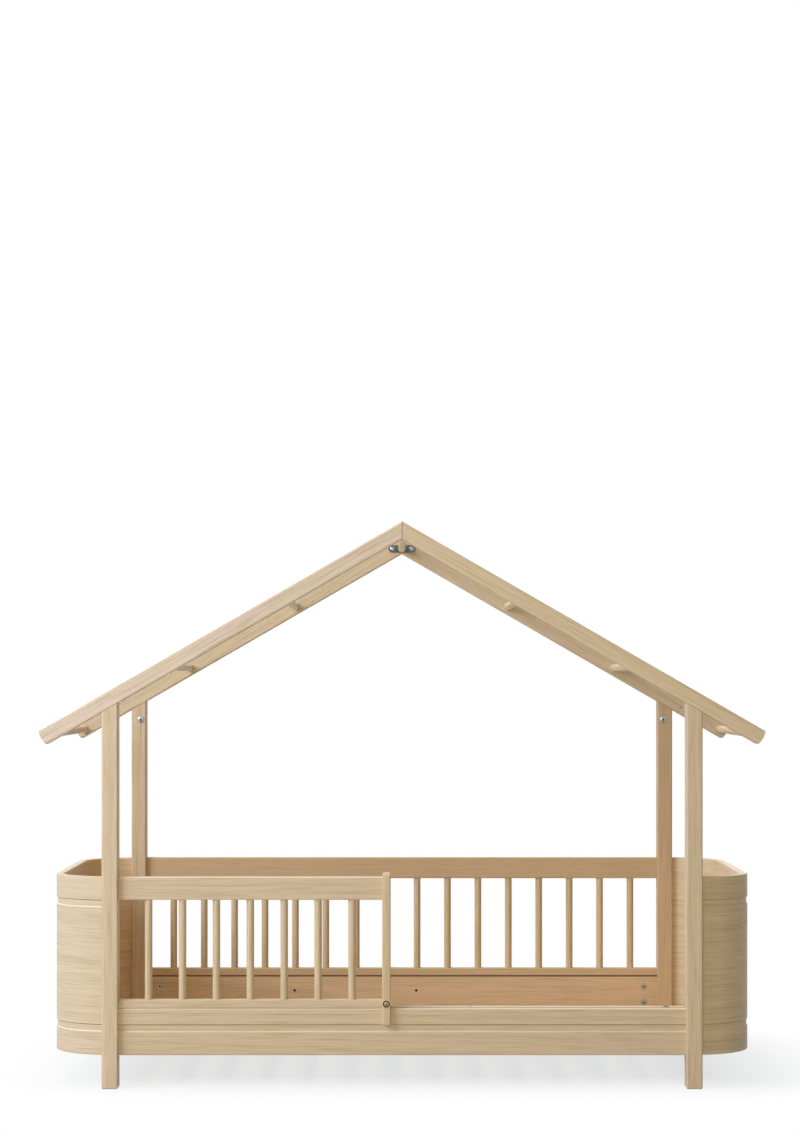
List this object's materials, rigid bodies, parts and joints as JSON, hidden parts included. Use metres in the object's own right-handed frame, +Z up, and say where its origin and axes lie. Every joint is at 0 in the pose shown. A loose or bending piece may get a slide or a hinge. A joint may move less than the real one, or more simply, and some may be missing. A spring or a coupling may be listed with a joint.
{
  "type": "house frame bed",
  "caption": "Low child's bed in oak with a house-shaped roof frame on posts, rounded moulded ends, a spindle barrier along the rear and a half-length guard that lifts off the front.",
  "frame": {"origin": "on the floor, under the middle of the bed", "axes": "+X along the bed to the right as seen from its open front, +Y from the front to the rear, +Z up"},
  "size_m": [1.7276, 0.8, 1.35],
  "materials": {
    "oak": "matt white-oiled oak",
    "oak_plywood": "matt white-oiled oak veneer on moulded plywood",
    "birch": "planed, untreated",
    "beech": "planed, untreated",
    "zinc_steel": "bright zinc plate",
    "bronzed_steel": "light bronze plate, satin"
  },
  "bodies": {
    "bed": {"base_ledgers": "birch", "cam_bolts": "zinc_steel", "cam_locks": "zinc_steel", "dowels": "beech", "end_shell_left": "oak_plywood", "end_shell_right": "oak_plywood", "front_inner_rail": "oak", "front_rail": "oak", "post_front_left": "oak", "post_front_right": "oak", "post_rear_left": "oak", "post_rear_right": "oak", "rafter_front_left": "oak", "rafter_front_right": "oak", "rafter_rear_left": "oak", "rafter_rear_right": "oak", "rear_board": "oak", "rear_bottom_rail": "oak", "rear_spindle_01": "oak", "rear_spindle_02": "oak", "rear_spindle_03": "oak", "rear_spindle_04": "oak", "rear_spindle_05": "oak", "rear_spindle_06": "oak", "rear_spindle_07": "oak", "rear_spindle_08": "oak", "rear_spindle_09": "oak", "rear_spindle_10": "oak", "rear_spindle_11": "oak", "rear_spindle_12": "oak", "rear_spindle_13": "oak", "rear_spindle_14": "oak", "rear_spindle_15": "oak", "rear_spindle_16": "oak", "rear_top_rail": "oak", "ridge_plates": "zinc_steel", "roof_bolts": "zinc_steel", "roof_rod_1": "oak", "roof_rod_2": "oak", "roof_rod_3": "oak", "roof_rod_4": "oak", "roof_rod_5": "oak", "roof_rod_6": "oak", "roof_rod_7": "oak", "roof_tongues": "beech", "slatted_base": "birch", "threaded_inserts": "zinc_steel", "wood_screws": "zinc_steel"},
    "guard": {"guard_bottom_rail": "oak", "guard_clamp_bolt": "bronzed_steel", "guard_clamp_nut": "bronzed_steel", "guard_spindle_1": "oak", "guard_spindle_2": "oak", "guard_spindle_3": "oak", "guard_spindle_4": "oak", "guard_spindle_5": "oak", "guard_spindle_6": "oak", "guard_spindle_7": "oak", "guard_stile": "oak", "guard_top_rail": "oak"}
  },
  "joints": [
    {"name": "guard_lift", "type": "slide", "parent": "bed", "child": "guard", "axis": [0, 0, 1], "range_m": [0, 0.06]}
  ]
}
